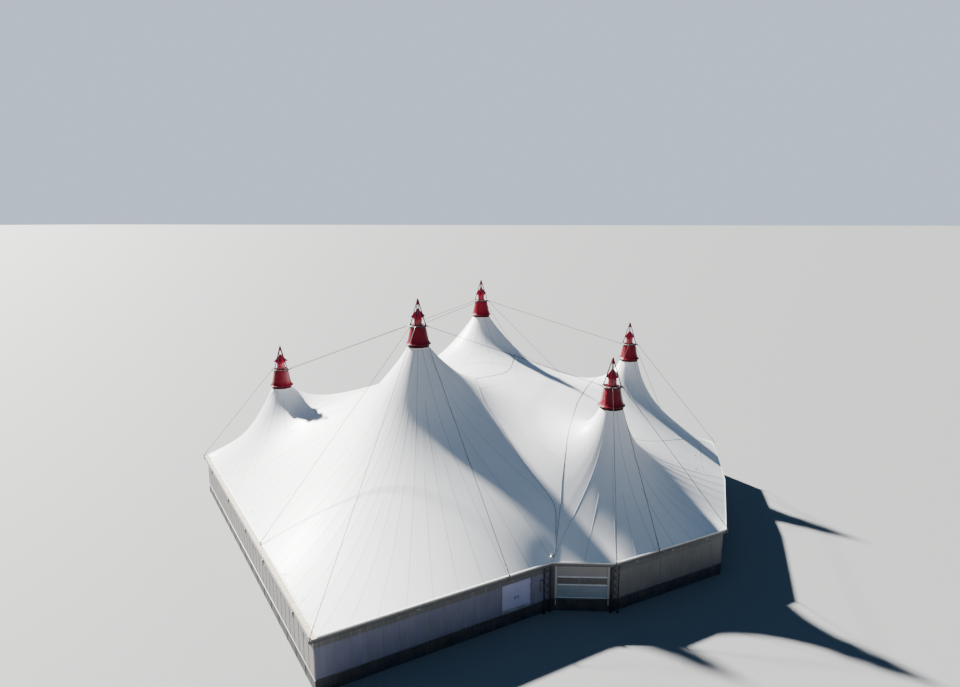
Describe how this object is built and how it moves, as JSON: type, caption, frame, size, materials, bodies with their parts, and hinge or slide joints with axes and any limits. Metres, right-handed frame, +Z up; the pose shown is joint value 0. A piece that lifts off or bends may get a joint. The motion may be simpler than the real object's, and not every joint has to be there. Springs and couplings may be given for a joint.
{
  "type": "circus big top tent, half-size model",
  "caption": "Half-size model of a circus big top: a white canopy on tall masts with red hoods, taut stays, low panel walls, a gate bay and a hinged double door.",
  "frame": {"origin": "on the ground under the middle of the overall box", "axes": "+X to the tent's right end, +Y to its rear, +Z up; the gate and door are on the -Y side"},
  "size_m": [29.6403, 38.3804, 12.27],
  "materials": {
    "membrane": "satin coated",
    "galvanised_steel": "galvanised",
    "hood_fabric": "satin coated",
    "head_steel": "satin",
    "stay_cable": "stranded",
    "eave_trim": "satin",
    "plinth_board": "matt",
    "wall_panel": "satin",
    "door_panel": "satin",
    "gate_panel": "satin",
    "lattice_steel": "satin"
  },
  "bodies": {
    "tent": {"canopy_1": "membrane", "mast_1": "galvanised_steel", "hood_1": "hood_fabric", "head_frame_1": "head_steel", "stays_1": "stay_cable", "canopy_2": "membrane", "mast_2": "galvanised_steel", "hood_2": "hood_fabric", "head_frame_2": "head_steel", "stays_2": "stay_cable", "canopy_3": "membrane", "mast_3": "galvanised_steel", "hood_3": "hood_fabric", "head_frame_3": "head_steel", "stays_3": "stay_cable", "canopy_4": "membrane", "mast_4": "galvanised_steel", "hood_4": "hood_fabric", "head_frame_4": "head_steel", "stays_4": "stay_cable", "canopy_5": "membrane", "mast_5": "galvanised_steel", "hood_5": "hood_fabric", "head_frame_5": "head_steel", "stays_5": "stay_cable", "eave_beam_front": "eave_trim", "eave_beam_rear": "eave_trim", "gate_frame": "eave_trim", "plinth_front": "plinth_board", "plinth_rear": "plinth_board", "wall_front_left": "wall_panel", "wall_front_right": "wall_panel", "wall_right": "wall_panel", "wall_rear_right": "wall_panel", "wall_rear_gate": "wall_panel", "wall_rear_bay": "wall_panel", "wall_rear_left": "wall_panel", "wall_left": "wall_panel", "wall_bay_left": "wall_panel", "wall_bay_right": "wall_panel", "wall_over_door": "wall_panel", "gate_door": "gate_panel", "lattice_column_left": "lattice_steel", "lattice_column_right": "lattice_steel"},
    "left_leaf": {"door_leaf_left": "door_panel"},
    "right_leaf": {"door_leaf_right": "door_panel"}
  },
  "joints": [
    {"name": "left_leaf_hinge", "type": "hinge", "parent": "tent", "child": "left_leaf", "pos_m": [5.71595, -13.29463, 0.5563], "axis": [0, 0, -1], "range_deg": [0, 110]},
    {"name": "right_leaf_hinge", "type": "hinge", "parent": "tent", "child": "right_leaf", "pos_m": [6.64297, -12.28861, 0.5563], "axis": [0, 0, 1], "range_deg": [0, 110]}
  ]
}
